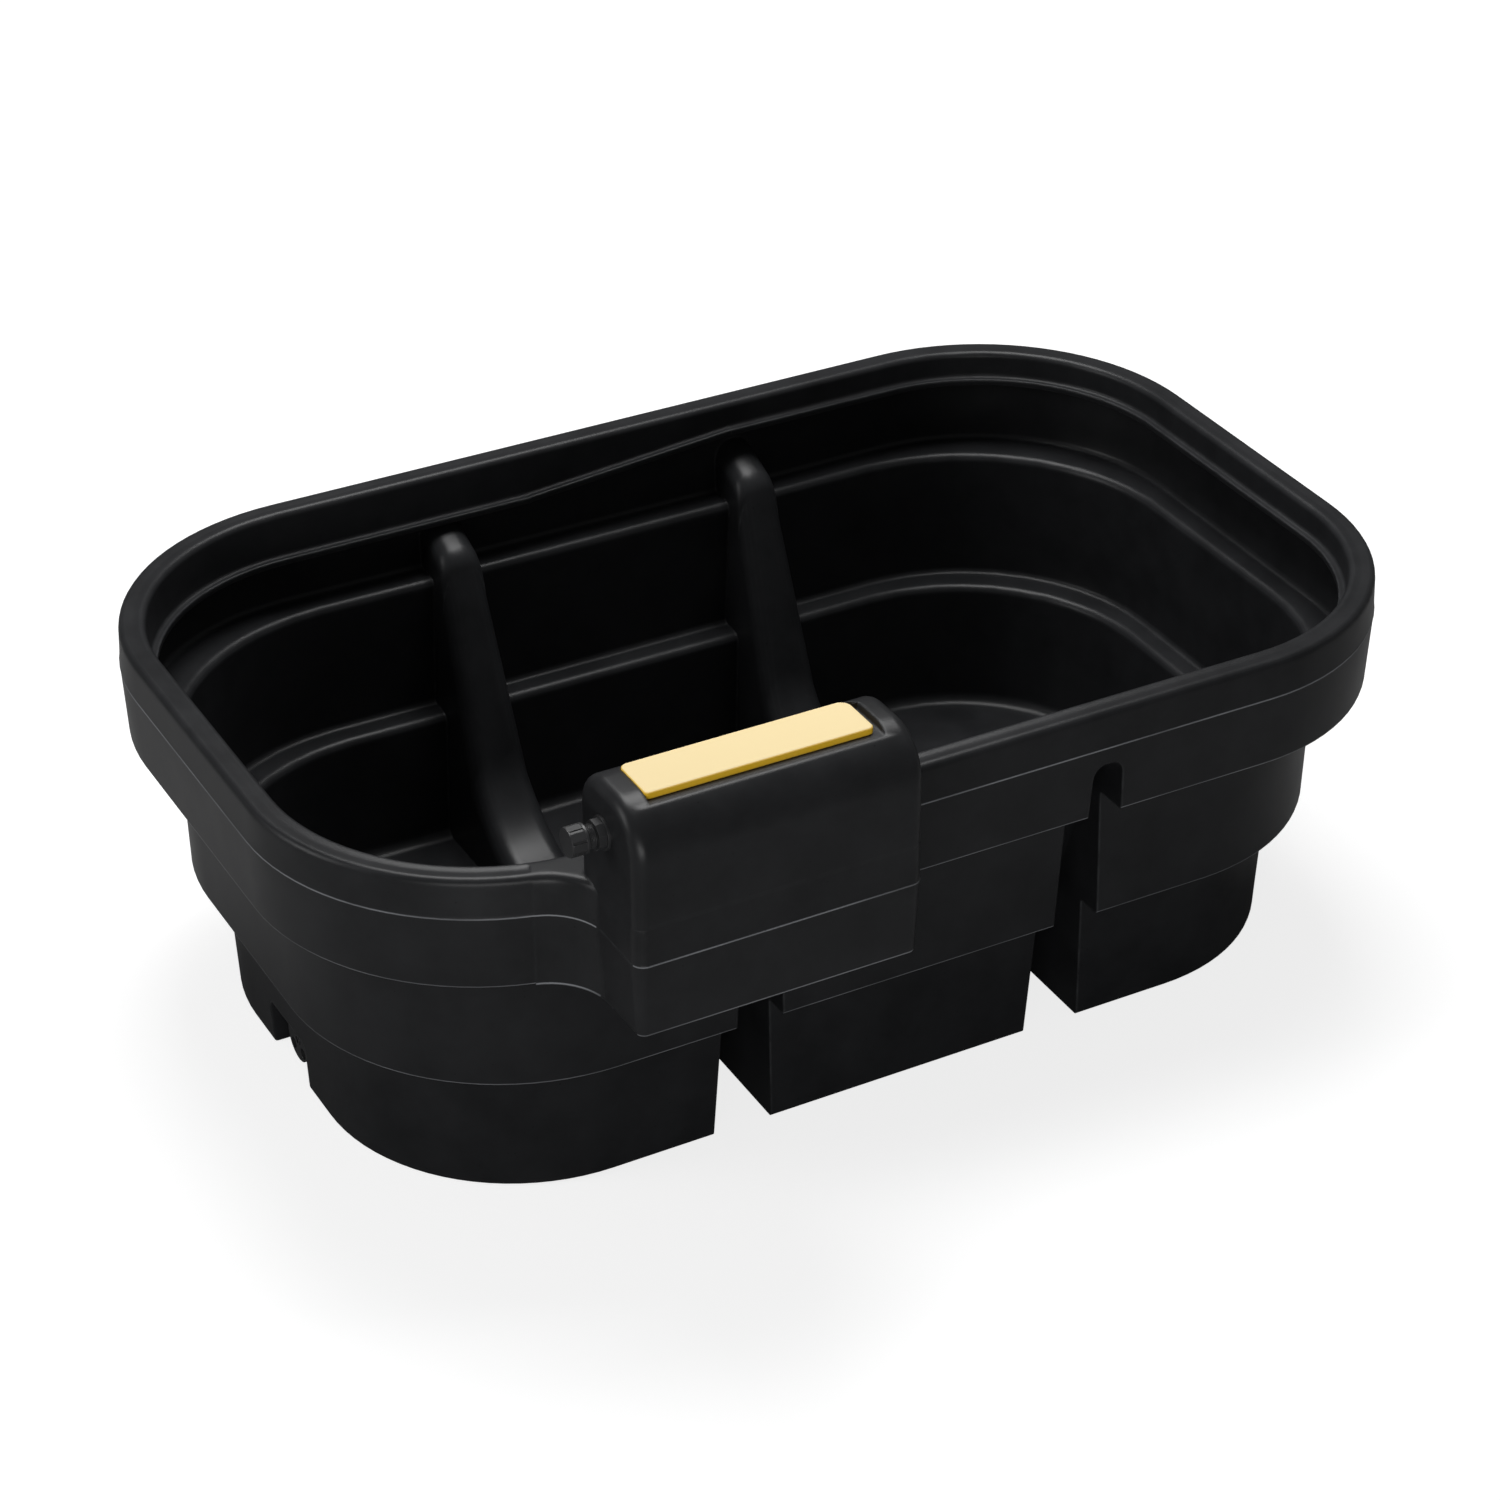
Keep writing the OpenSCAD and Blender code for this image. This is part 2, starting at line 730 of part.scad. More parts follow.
module drop_rod() {
    color(steel)
        translate([rod_x, inlet_y, float_top - float_h - 2])
            cylinder(h = pivot_z + 22 - float_top + float_h + 2, r = 3);
}

module rod_wing_nut() {
    color(steel)
        difference() {
            translate([rod_x, inlet_y, pivot_z + 6]) {
                cylinder(h = 6, r = 6);
                translate([-13, -1.5, 2]) cube([26, 3, 9]);
            }
            translate([rod_x, inlet_y, pivot_z]) cylinder(h = 30, r = 3.05);
        }
}

module rod_clip() {
    color(steel)
        difference() {
            translate([rod_x, inlet_y, pivot_z - 11]) cylinder(h = 5, r = 6, $fn = 6);
            translate([rod_x, inlet_y, pivot_z - 12]) cylinder(h = 10, r = 3.05);
        }
}

module float() {
    color(float_grey)
        translate([rod_x, inlet_y, float_top - float_h])
            rotate_extrude()
                polygon(concat([[3.05, 0]], arc([float_r - 8, 8], 8, -90, 0, 3),
                    arc([float_r - 8, float_h - 8], 8, 0, 90, 3), [[3.05, float_h]]));
}

// ---------------------------------------------------------------- drain

drain_barrel_r = 21.5;
drain_bore_r = 17;
drain_flange_r = 28;

module drain_seal() {
    color(rubber)
        along_x(recess_x + wall, 0, drain_z)
            difference() {
                cylinder(h = 2, r = drain_flange_r);
                translate([0, 0, -1]) cylinder(h = 5, r = drain_barrel_r + 0.1);
            }
}

module drain_bush() {
    color(black)
        along_x(recess_x - 20, 0, drain_z)
            difference() {
                union() {
                    cylinder(h = 30, r = drain_barrel_r);
                    translate([0, 0, 20 + wall + 2]) cylinder(h = 4, r = drain_flange_r);
                }
                translate([0, 0, -1]) cylinder(h = 40, r = drain_bore_r);
            }
}

module drain_lock_nut() {
    color(black)
        along_x(recess_x - 9, 0, drain_z)
            difference() {
                cylinder(h = 9, r = 28, $fn = 8);
                translate([0, 0, -1]) cylinder(h = 12, r = drain_barrel_r + 0.1);
            }
}

plug_face = -642;

module drain_plug_ring() {
    color(rubber)
        along_x(recess_x - 23, 0, drain_z)
            difference() {
                cylinder(h = 3, r = drain_barrel_r);
                translate([0, 0, -1]) cylinder(h = 6, r = drain_bore_r + 0.5);
            }
}

module drain_plug() {
    color(black)
        along_x(plug_face, 0, drain_z)
            difference() {
                union() {
                    cylinder(h = 9, r = plug_r);
                    cylinder(h = 20, r = drain_bore_r - 0.3);
                    translate([0, 0, -1.5]) cylinder(h = 3, r = 7);
                }
                translate([0, 0, -2]) cylinder(h = 6, r = 5);
                for (i = [0:3])
                    rotate([0, 0, 45 + 90 * i])
                        translate([20, 0, -1]) cylinder(h = 7, r = 7.5);
            }
}

trough_shell();
service_lid();
inlet_cap();
inlet_cap_seal();
inlet_lock_nut();
inlet_washer();
inlet_inner_seal();
valve_body();
valve_seat();
valve_piston();
piston_washer();
float_lever();
lever_pin();
drop_rod();
rod_clip();
rod_wing_nut();
float();
drain_bush();
drain_seal();
drain_lock_nut();
drain_plug();
drain_plug_ring();
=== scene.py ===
# %% [markdown]
# # A black plastic cattle trough with a float valve housing
#
# The trough is one big rotational moulding: a plastic powder melted onto the wall of a turning
# mould. Almost everything that makes it look real is therefore in one material: a satin skin,
# soft edges that catch the light, faint mottling and a fine grain. The solid shapes come ready
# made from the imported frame, so this lesson is about light, surface and small fittings.
# The camera stands in front and to the left, well above the rim, so that the basin shows.

import json
import math

import bmesh
import bpy
from mathutils import Matrix, Vector


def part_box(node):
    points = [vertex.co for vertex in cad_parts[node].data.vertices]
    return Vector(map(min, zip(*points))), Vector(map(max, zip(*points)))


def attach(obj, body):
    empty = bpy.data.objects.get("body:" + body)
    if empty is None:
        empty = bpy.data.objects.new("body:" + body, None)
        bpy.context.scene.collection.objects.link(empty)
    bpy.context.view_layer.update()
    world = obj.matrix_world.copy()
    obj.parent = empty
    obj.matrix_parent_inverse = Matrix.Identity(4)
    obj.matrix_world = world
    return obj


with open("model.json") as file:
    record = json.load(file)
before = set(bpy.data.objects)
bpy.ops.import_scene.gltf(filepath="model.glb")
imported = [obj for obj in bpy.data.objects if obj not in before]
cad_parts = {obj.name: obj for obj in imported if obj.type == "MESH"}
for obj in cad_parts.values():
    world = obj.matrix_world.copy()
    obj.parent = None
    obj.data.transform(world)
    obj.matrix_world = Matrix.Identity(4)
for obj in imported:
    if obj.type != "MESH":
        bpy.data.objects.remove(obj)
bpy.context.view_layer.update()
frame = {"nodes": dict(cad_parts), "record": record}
nodes = frame["nodes"]

# %% [markdown]
# ## The camera
#
# A long lens from far away keeps the sides of a big product nearly parallel. The camera's
# three axes follow from two angles: back points from the trough to the camera, right and up
# span the picture. Its place is written out: five metres away, where the whole trough fits in.

# %% Place the camera
AZIMUTH = math.radians(-28.575)
ELEVATION = math.radians(32.116)
CAMERA_PLACE = Vector((-1.9982, -3.6592, 2.8829))
LENS = 92.83


def camera_axes(azimuth, elevation):
    back = Vector((
        math.sin(azimuth) * math.cos(elevation),
        -math.cos(azimuth) * math.cos(elevation),
        math.sin(elevation),
    ))
    right = Vector((math.cos(azimuth), math.sin(azimuth), 0))
    return right, back.cross(right), back


right, up, back = camera_axes(AZIMUTH, ELEVATION)
camera = bpy.data.objects.new("camera", bpy.data.cameras.new("camera"))
camera.matrix_world = Matrix((
    (right.x, up.x, back.x, CAMERA_PLACE.x),
    (right.y, up.y, back.y, CAMERA_PLACE.y),
    (right.z, up.z, back.z, CAMERA_PLACE.z),
    (0, 0, 0, 1),
))
camera.data.lens = LENS
camera.data.sensor_width = 36
camera.data.clip_end = 50
scene = bpy.context.scene
scene.collection.objects.link(camera)
scene.camera = camera
scene.view_settings.view_transform = "Standard"
print("camera", round(CAMERA_PLACE.length, 2), "m from the origin")

# %% [markdown]
# ## Small helpers for node trees
#
# Every material below is a handful of nodes and links, and helpers keep the cells short.
# add_node adds a node and sets its inputs, by name with _ for a space, or by number as i0, i1
# and so on where several have one name. Two helpers do sums with numbers and with vectors. The
# others start a group or a material, place a group in a tree, and find a material's shader.


# %% Helpers for nodes
def add_node(tree, kind, settings=None, **inputs):
    node = tree.nodes.new(kind)
    for name, value in (settings or {}).items():
        setattr(node, name, value)
    for name, value in inputs.items():
        numbered = name[1:].isdigit()
        socket = node.inputs[int(name[1:]) if numbered else name.replace("_", " ")]
        if isinstance(value, bpy.types.NodeSocket):
            tree.links.new(value, socket)
        else:
            socket.default_value = value
    return node


def by_number(values):
    return {f"i{place}": value for place, value in enumerate(values)}


def calculate(tree, operation, *values, clamp=False):
    settings = {"operation": operation, "use_clamp": clamp}
    return add_node(tree, "ShaderNodeMath", settings, **by_number(values)).outputs[0]


def calculate_vector(tree, operation, *values, result="Vector"):
    settings = {"operation": operation}
    return add_node(tree, "ShaderNodeVectorMath", settings, **by_number(values)).outputs[result]


def object_place(tree):
    return add_node(tree, "ShaderNodeTexCoord").outputs["Object"]


def ramp(tree, factor, stops):
    node = add_node(tree, "ShaderNodeValToRGB", Fac=factor)
    for element, (place, value) in zip(node.color_ramp.elements, stops):
        element.position = place
        element.color = (value, value, value, 1)
    return node.outputs["Color"]


print("helpers for nodes ready")


# %% Helpers for groups and materials
def new_group(name, inputs, outputs):
    group = bpy.data.node_groups.new(name, "ShaderNodeTree")
    for label, value in inputs.items():
        socket = group.interface.new_socket(label, in_out="INPUT", socket_type="NodeSocketFloat")
        socket.default_value = value
    for label, kind in outputs.items():
        group.interface.new_socket(label, in_out="OUTPUT", socket_type=kind)
    source = group.nodes.new("NodeGroupInput")
    target = group.nodes.new("NodeGroupOutput")
    return group, source.outputs, target.inputs


def use_group(tree, group, **inputs):
    return add_node(tree, "ShaderNodeGroup", {"node_tree": group}, **inputs).outputs


def new_material(name):
    material = bpy.data.materials.new(name)
    material.use_nodes = True
    tree = material.node_tree
    tree.nodes.clear()
    output = tree.nodes.new("ShaderNodeOutputMaterial")
    shader = tree.nodes.new("ShaderNodeBsdfPrincipled")
    tree.links.new(shader.outputs["BSDF"], output.inputs["Surface"])
    return material, tree, shader


def shader_of(material):
    return next(node for node in material.node_tree.nodes if node.type == "BSDF_PRINCIPLED")


print("helpers for groups and materials ready")

# %% [markdown]
# ## Skin grain
#
# A moulded skin is never optically flat. The mould's own texture prints a fine grain into it,
# and the slow cooling of a thick wall leaves long, shallow waves. Both are heights, so both
# belong in one bump. The bump starts from a bevelled normal, which makes each edge look as
# round as a real one, and the group puts out the finished normal.

# %% Group: skin grain
WAVES_PER_METRE = 7.0
BEVEL_SAMPLES = 6


def bevelled_normal(tree, radius):
    node = add_node(tree, "ShaderNodeBevel", {"samples": BEVEL_SAMPLES}, Radius=radius)
    return node.outputs["Normal"]


def skin_grain_group():
    group, source, target = new_group(
        "skin grain",
        {"Grains per metre": 900.0, "Grain height": 0.00006, "Wave height": 0.0008,
         "Edge radius": 0.003},
        {"Normal": "NodeSocketVector"},
    )
    place = object_place(group)
    grain = add_node(group, "ShaderNodeTexNoise", Vector=place, Scale=source["Grains per metre"],
                     Detail=3.0, Roughness=0.6)
    waves = add_node(group, "ShaderNodeTexNoise", Vector=place, Scale=WAVES_PER_METRE, Detail=1.5)
    fine = calculate(group, "MULTIPLY", grain.outputs["Fac"], source["Grain height"])
    height = calculate(group, "MULTIPLY_ADD", waves.outputs["Fac"], source["Wave height"], fine)
    bump = add_node(group, "ShaderNodeBump", Strength=1.0, Distance=1.0, Height=height,
                    Normal=bevelled_normal(group, source["Edge radius"]))
    group.links.new(bump.outputs["Normal"], target["Normal"])
    return group


skin_grain = skin_grain_group()
print("group", skin_grain.name)

# %% [markdown]
# ## Edge wear and painted highlight
#
# Edges are painted paler than the faces, partly as wear, where straps, hooves and pallets rub them,
# and partly as painted highlight, where the rounded edges catch the light. A bevelled normal only
# differs from the true one close to an edge: one minus their dot product is a mask of the edges,
# broken up with a noise so that the paling isn't even.

# %% Group: edge wear and painted highlight
# An edge counts as fully worn and highlit where the bevelled normal has turned by 34 degrees.
WEAR_AND_HIGHLIGHT_GAIN = 6.0


def edge_wear_and_highlight_group():
    group, source, target = new_group(
        "edge wear and highlight", {"Width": 0.004, "Patches per metre": 60.0}, {"Mask": "NodeSocketFloat"})
    flat = add_node(group, "ShaderNodeNewGeometry").outputs["True Normal"]
    likeness = calculate_vector(group, "DOT_PRODUCT", bevelled_normal(group, source["Width"]), flat,
                                result="Value")
    turned = calculate(group, "SUBTRACT", 1.0, likeness)
    # The edge mask paints edges paler: partly wear, partly painted highlight.
    edge = calculate(group, "MULTIPLY", turned, WEAR_AND_HIGHLIGHT_GAIN, clamp=True)
    noise = add_node(group, "ShaderNodeTexNoise", Vector=object_place(group),
                     Scale=source["Patches per metre"], Detail=4.0)
    broken = ramp(group, noise.outputs["Fac"], [(0.35, 0.25), (0.65, 1.0)])
    group.links.new(calculate(group, "MULTIPLY", edge, broken), target["Mask"])
    return group


edge_wear_and_highlight = edge_wear_and_highlight_group()
print("group", edge_wear_and_highlight.name)

# %% [markdown]
# ## Mottling and specks
#
# Pigment never spreads quite evenly in melted powder, and no skin is without small marks. The
# first shows as large soft clouds. Specks are sparse dots: pale dust on the fittings, and dark
# pinholes, where a grain of powder has burnt out, in the big moulding.

# %% Group: mottling and specks
SPECK_PATCHES_PER_METRE = 38.0


def mottle_group():
    group, source, target = new_group(
        "mottle and specks",
        {"Clouds per metre": 5.0, "Specks per metre": 260.0},
        {"Clouds": "NodeSocketFloat", "Specks": "NodeSocketFloat"},
    )
    place = object_place(group)
    clouds = add_node(group, "ShaderNodeTexNoise", Vector=place, Scale=source["Clouds per metre"],
                      Detail=5.0, Roughness=0.62)
    cells = add_node(group, "ShaderNodeTexVoronoi", Vector=place, Scale=source["Specks per metre"])
    dots = ramp(group, cells.outputs["Distance"], [(0.05, 1.0), (0.16, 0.0)])
    patches = add_node(group, "ShaderNodeTexNoise", Vector=place, Scale=SPECK_PATCHES_PER_METRE,
                       Detail=2.0)
    some = ramp(group, patches.outputs["Fac"], [(0.56, 0.0), (0.7, 1.0)])
    group.links.new(clouds.outputs["Fac"], target["Clouds"])
    group.links.new(calculate(group, "MULTIPLY", dots, some), target["Specks"])
    return group


mottle = mottle_group()
print("group", mottle.name)

# %% [markdown]
# ## Painted highlights along the lips
#
# Round the outside of the moulding run three fine pale lines, painted highlights of the kind
# that thin ridges and rounded lips catch: one at the parting line, where the two halves of the
# mould met and a trimmed burr also leaves a paler mark, and one along the lip of each of the two
# steps. They lie level, so a height is enough to find them. Only faces that look outwards count:
# outwards is measured from a rectangle between the four corner centres.

# %% Group: painted lip highlights
# Each line is its height over the ground and half its width.
PARTING_LINE = (0.4645, 0.0016)
STEP_LIPS = ((0.3702, 0.002), (0.1862, 0.002))
CORNER_CENTRES = (0.408, 0.132)
LIP_PATCHES_PER_METRE = 9.0


def outward_direction(tree, place, corner):
    level = calculate_vector(tree, "MULTIPLY", place, (1, 1, 0))
    short = calculate_vector(tree, "MINIMUM", level, (corner[0], corner[1], 0))
    inner = calculate_vector(tree, "MAXIMUM", short, (-corner[0], -corner[1], 0))
    return calculate_vector(tree, "NORMALIZE", calculate_vector(tree, "SUBTRACT", level, inner))


def level_line(tree, height, line_height, half_width):
    away = calculate(tree, "ABSOLUTE", calculate(tree, "SUBTRACT", height, line_height))
    bell = add_node(tree, "ShaderNodeMapRange", {"interpolation_type": "SMOOTHSTEP"},
                    Value=away, From_Min=0.0, From_Max=half_width, To_Min=1.0, To_Max=0.0)
    return bell.outputs["Result"]


def lip_highlight_lines_group(lines, corner):
    group, source, target = new_group("painted lip highlights", {"Facing": 0.4}, {"Mask": "NodeSocketFloat"})
    place = object_place(group)
    height = add_node(group, "ShaderNodeSeparateXYZ", Vector=place).outputs["Z"]
    flat = add_node(group, "ShaderNodeNewGeometry").outputs["True Normal"]
    towards = calculate_vector(group, "DOT_PRODUCT", outward_direction(group, place, corner), flat,
                               result="Value")
    facing = calculate(group, "GREATER_THAN", towards, source["Facing"])
    nearest = 0.0
    for line in lines:
        nearest = calculate(group, "MAXIMUM", nearest, level_line(group, height, *line))
    patches = add_node(group, "ShaderNodeTexNoise", Vector=place, Scale=LIP_PATCHES_PER_METRE,
                       Detail=3.0)
    uneven = ramp(group, patches.outputs["Fac"], [(0.3, 0.45), (0.6, 1.0)])
    outside = calculate(group, "MULTIPLY", nearest, facing)
    group.links.new(calculate(group, "MULTIPLY", outside, uneven), target["Mask"])
    return group


lip_highlight_lines = lip_highlight_lines_group((PARTING_LINE, *STEP_LIPS), CORNER_CENTRES)
print("group", lip_highlight_lines.name)

# %% [markdown]
# ## Plastic
#
# All plastic pieces share one recipe: a base colour that the clouds make thinner and richer, a
# paler colour on the edges, partly wear and partly painted highlight, specks, a roughness that
# goes up and down with the clouds, and the grained normal. Grains, clouds and dots are counts to
# the metre, specks is how strong the dots are, and mottling is the share of the colour in the
# thinnest and the richest cloud.


# %% A recipe for plastic
def mix_colours(tree, factor, first, second):
    node = add_node(tree, "ShaderNodeMix", {"data_type": "RGBA"}, i0=factor, i6=first, i7=second)
    return node.outputs[2]


def mix_values(tree, factor, low, high):
    node = add_node(tree, "ShaderNodeMapRange", Value=factor, To_Min=low, To_Max=high)
    return node.outputs["Result"]


def scaled(colour, share):
    return tuple(min(1.0, part * share) for part in colour[:3]) + (1,)


def plastic(name, colour, worn_and_highlit_colour, roughness, grains=900.0, grain_height=0.00006,
            wave_height=0.0008, edge=0.003, specks=0.5, gloss=0.5, clouds=5.0, dots=260.0,
            speck_colour=None, mottling=(0.4, 1.55)):
    material, tree, shader = new_material(name)
    skin = use_group(tree, skin_grain, Grains_per_metre=grains, Grain_height=grain_height,
                     Wave_height=wave_height, Edge_radius=edge)
    wear_and_highlight = use_group(tree, edge_wear_and_highlight, Width=edge, Patches_per_metre=60.0)
    marks = use_group(tree, mottle, Clouds_per_metre=clouds, Specks_per_metre=dots)
    thin, rich = (scaled(colour, share) for share in mottling)
    clouded = mix_colours(tree, marks["Clouds"], thin, rich)
    # Edges get the paler colour: partly wear, partly painted highlight.
    worn_and_highlit = mix_colours(tree, wear_and_highlight["Mask"], clouded, worn_and_highlit_colour)
    speckled = calculate(tree, "MULTIPLY", marks["Specks"], specks)
    base = mix_colours(tree, speckled, worn_and_highlit, speck_colour or worn_and_highlit_colour)
    rough = mix_values(tree, marks["Clouds"], roughness - 0.07, roughness + 0.07)
    tree.links.new(base, shader.inputs["Base Color"])
    tree.links.new(rough, shader.inputs["Roughness"])
    tree.links.new(skin["Normal"], shader.inputs["Normal"])
    shader.inputs["Specular IOR Level"].default_value = gloss
    return material


print("recipe ready")

# %% [markdown]
# ## The black skin
#
# Polyethylene filled with carbon black gives back only about two percent of the light; the
# rest of what the eye sees is its satin gloss. So the base colour is nearly black, a touch
# paler on the edges, partly as wear and partly as painted highlight, and the roughness carries
# the picture. The three painted highlight lines along the lips are laid over the finished colour.

# %% Material: black moulding
CARBON_BLACK = (0.018, 0.0185, 0.02, 1)
# The paler black on the edges: partly wear, partly painted highlight.
RUBBED_AND_HIGHLIT_BLACK = (0.055, 0.057, 0.06, 1)
PINHOLE = (0.002, 0.002, 0.002, 1)
# The pale lip colour is a painted highlight.
PAINTED_LIP_HIGHLIGHT = (0.32, 0.33, 0.35, 1)


def add_painted_lip_highlights(material, highlight_colour):
    tree = material.node_tree
    base = shader_of(material).inputs["Base Color"]
    under = base.links[0].from_socket
    # Pale lines laid over the colour: painted highlights along the lips and the parting line.
    tree.links.new(mix_colours(tree, use_group(tree, lip_highlight_lines)["Mask"], under, highlight_colour), base)


black_skin = plastic("black moulding", CARBON_BLACK, RUBBED_AND_HIGHLIT_BLACK, 0.35, edge=0.005, gloss=0.25,
                     clouds=11.0, dots=120.0, specks=0.9, speck_colour=PINHOLE)
add_painted_lip_highlights(black_skin, PAINTED_LIP_HIGHLIGHT)
print("material", black_skin.name)

# %% [markdown]
# ## The small fittings
#
# The nut, the washer, the cap and the drain fitting are injection moulded: finer in grain,
# with sharper edges and a little duller than the big skin. Seals are plain matt rubber. The
# float and the lever are left in the plastic's own milky colour, which hardly mottles.

# %% Materials: fittings, seals and natural plastic
FITTING_FINISH = {
    "colour": (0.028, 0.0285, 0.03, 1),
    "worn_and_highlit_colour": (0.07, 0.07, 0.072, 1),
    "roughness": 0.4,
    "grains": 1800.0,
    "grain_height": 0.00003,
    "wave_height": 0.0001,
    "edge": 0.0008,
    "specks": 0.2,
}
fitting = plastic("black fitting", **FITTING_FINISH)
seal = plastic("seal rubber", (0.008, 0.008, 0.008, 1), (0.02, 0.02, 0.02, 1), 0.75,
               grains=2500.0, grain_height=0.00004, wave_height=0.0, edge=0.0005, specks=0.3,
               gloss=0.3)
natural = plastic("natural plastic", (0.62, 0.63, 0.6, 1), (0.7, 0.7, 0.68, 1), 0.42,
                  grains=1500.0, grain_height=0.00003, wave_height=0.0002, edge=0.001, specks=0.1,
                  mottling=(0.9, 1.1))
print("materials", fitting.name, seal.name, natural.name)

# %% [markdown]
# ## The threaded stem
#
# The stem that comes out of the housing is threaded from its end to the washer. Under the nut,
# which never moves, the thread is only a height that repeats along the stem. From the nut to
# the stem's end, where the cap comes off, it gets a real ridge further down.

# %% Material: threaded stem
# Fourteen turns to the inch, as on a three-quarter inch pipe thread.
THREAD_PITCH = 0.001814
THREAD_DEPTH = 0.0009


def threaded(name):
    material = plastic(name, **FITTING_FINISH)
    tree = material.node_tree
    normal = shader_of(material).inputs["Normal"]
    along = add_node(tree, "ShaderNodeSeparateXYZ", Vector=object_place(tree)).outputs["X"]
    turns = calculate(tree, "DIVIDE", along, THREAD_PITCH)
    tooth = calculate(tree, "PINGPONG", turns, 0.5)
    washer_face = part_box("inlet_washer")[1][0]
    outside = calculate(tree, "LESS_THAN", along, washer_face)
    relief = add_node(tree, "ShaderNodeBump", Strength=1.0, Distance=2 * THREAD_DEPTH,
                      Height=calculate(tree, "MULTIPLY", tooth, outside),
                      Normal=normal.links[0].from_socket)
    tree.links.new(relief.outputs["Normal"], normal)
    return material


stem_thread = threaded("threaded stem")
print("material", stem_thread.name)

# %% [markdown]
# ## The yellow lid
#
# The lid is the only bright piece, so that a farmer finds the valve at once. Its upward faces
# get a pale yellow as painted light from above, while the sides keep their full pigment; faint
# clouds make it a little chalky. The upward part of the normal is the mask for that painted
# light. Its edges are a little paler, partly as rubbing by hands and partly as painted highlight.

# %% Material: yellow lid
FULL_YELLOW = (0.95, 0.56, 0.002, 1)
# The upward faces' pale yellow is painted light from above.
PAINTED_TOP_LIGHT_YELLOW = (0.93, 0.755, 0.42, 1)
CHALKY_YELLOW = (0.95, 0.84, 0.6, 1)
# The paler yellow on the edges: partly rubbing, partly painted highlight.
RUBBED_AND_HIGHLIT_YELLOW = (0.95, 0.8, 0.5, 1)


def lid_with_painted_top_light(name):
    material, tree, shader = new_material(name)
    skin = use_group(tree, skin_grain, Grains_per_metre=1400.0, Grain_height=0.00003,
                     Wave_height=0.0002, Edge_radius=0.002)
    marks = use_group(tree, mottle, Clouds_per_metre=14.0)
    wear_and_highlight = use_group(tree, edge_wear_and_highlight, Width=0.0015, Patches_per_metre=90.0)
    shape = add_node(tree, "ShaderNodeNewGeometry")
    upward = add_node(tree, "ShaderNodeSeparateXYZ", Vector=shape.outputs["Normal"]).outputs["Z"]
    # Painted light: the more a face turns upwards, the paler its yellow.
    painted_top_light = add_node(tree, "ShaderNodeMapRange", {"interpolation_type": "SMOOTHSTEP"},
                      Value=upward, From_Min=0.55, From_Max=0.995)
    painted_top_lit = mix_colours(tree, painted_top_light.outputs["Result"], FULL_YELLOW, PAINTED_TOP_LIGHT_YELLOW)
    chalk = mix_values(tree, marks["Clouds"], 0.0, 0.12)
    chalky = mix_colours(tree, chalk, painted_top_lit, CHALKY_YELLOW)
    # Edges painted paler: partly rubbing, partly painted highlight.
    rubbed_and_highlit = mix_values(tree, wear_and_highlight["Mask"], 0.0, 0.35)
    base = mix_colours(tree, rubbed_and_highlit, chalky, RUBBED_AND_HIGHLIT_YELLOW)
    rough = mix_values(tree, marks["Clouds"], 0.42, 0.55)
    tree.links.new(base, shader.inputs["Base Color"])
    tree.links.new(rough, shader.inputs["Roughness"])
    tree.links.new(skin["Normal"], shader.inputs["Normal"])
    shader.inputs["Specular IOR Level"].default_value = 0.08
    return material


lid_yellow = lid_with_painted_top_light("yellow lid")
print("material", lid_yellow.name)

# %% [markdown]
# ## The metal pieces
#
# The valve's seat is turned brass. Its rod and pin are drawn stainless wire, and the clip and
# the wing nut get the same finish. Turning and drawing both leave fine lines round or along the
# piece, so colour and roughness follow a noise that is stretched that way. Edges are painted
# brighter, partly as rubbing and partly as painted highlight.

# %% Materials: brass and stainless
LINES_PER_METRE = 400.0


def drawn_metal(name, colour, roughness, stretch):
    material, tree, shader = new_material(name)
    squeezed = add_node(tree, "ShaderNodeMapping", Vector=object_place(tree), Scale=stretch)
    lines = add_node(tree, "ShaderNodeTexNoise", Vector=squeezed.outputs["Vector"],
                     Scale=LINES_PER_METRE, Detail=3.0).outputs["Fac"]
    skin = use_group(tree, skin_grain, Grains_per_metre=2200.0, Grain_height=0.00001,
                     Wave_height=0.0, Edge_radius=0.0005)
    wear_and_highlight = use_group(tree, edge_wear_and_highlight, Width=0.0005, Patches_per_metre=300.0)
    lined = mix_colours(tree, lines, scaled(colour, 0.8), colour)
    # Edges painted brighter: partly rubbing, partly painted highlight.
    rubbed_and_highlit = mix_colours(tree, wear_and_highlight["Mask"], lined, scaled(colour, 1.2))
    rough = mix_values(tree, lines, roughness - 0.08, roughness + 0.12)
    tree.links.new(rubbed_and_highlit, shader.inputs["Base Color"])
    tree.links.new(rough, shader.inputs["Roughness"])
    tree.links.new(skin["Normal"], shader.inputs["Normal"])
    shader.inputs["Metallic"].default_value = 1.0
    return material


brass = drawn_metal("turned brass", (0.78, 0.56, 0.25, 1), 0.28, (1, 0.05, 0.05))
stainless = drawn_metal("drawn stainless", (0.62, 0.62, 0.61, 1), 0.3, (1, 1, 0.05))
print("materials", brass.name, stainless.name)

# %% [markdown]
# ## Dress the pieces
#
# Each piece of the frame gets the finish of its material slot, so the table is short. The
# valve's body is the one exception: it is a black fitting, but its stem shows the thread.

# %% Give every piece its finish
FINISH = {
    "black_moulding": black_skin,
    "yellow_moulding": lid_yellow,
    "black_fitting": fitting,
    "seal_rubber": seal,
    "white_plastic": natural,
    "seat_brass": brass,
    "stainless": stainless,
}
for entry in frame["record"]["subparts"]:
    mesh = nodes[entry["node"]].data
    mesh.materials.clear()
    mesh.materials.append(FINISH[entry["material_slot"]])
nodes["valve_body"].data.materials[0] = stem_thread

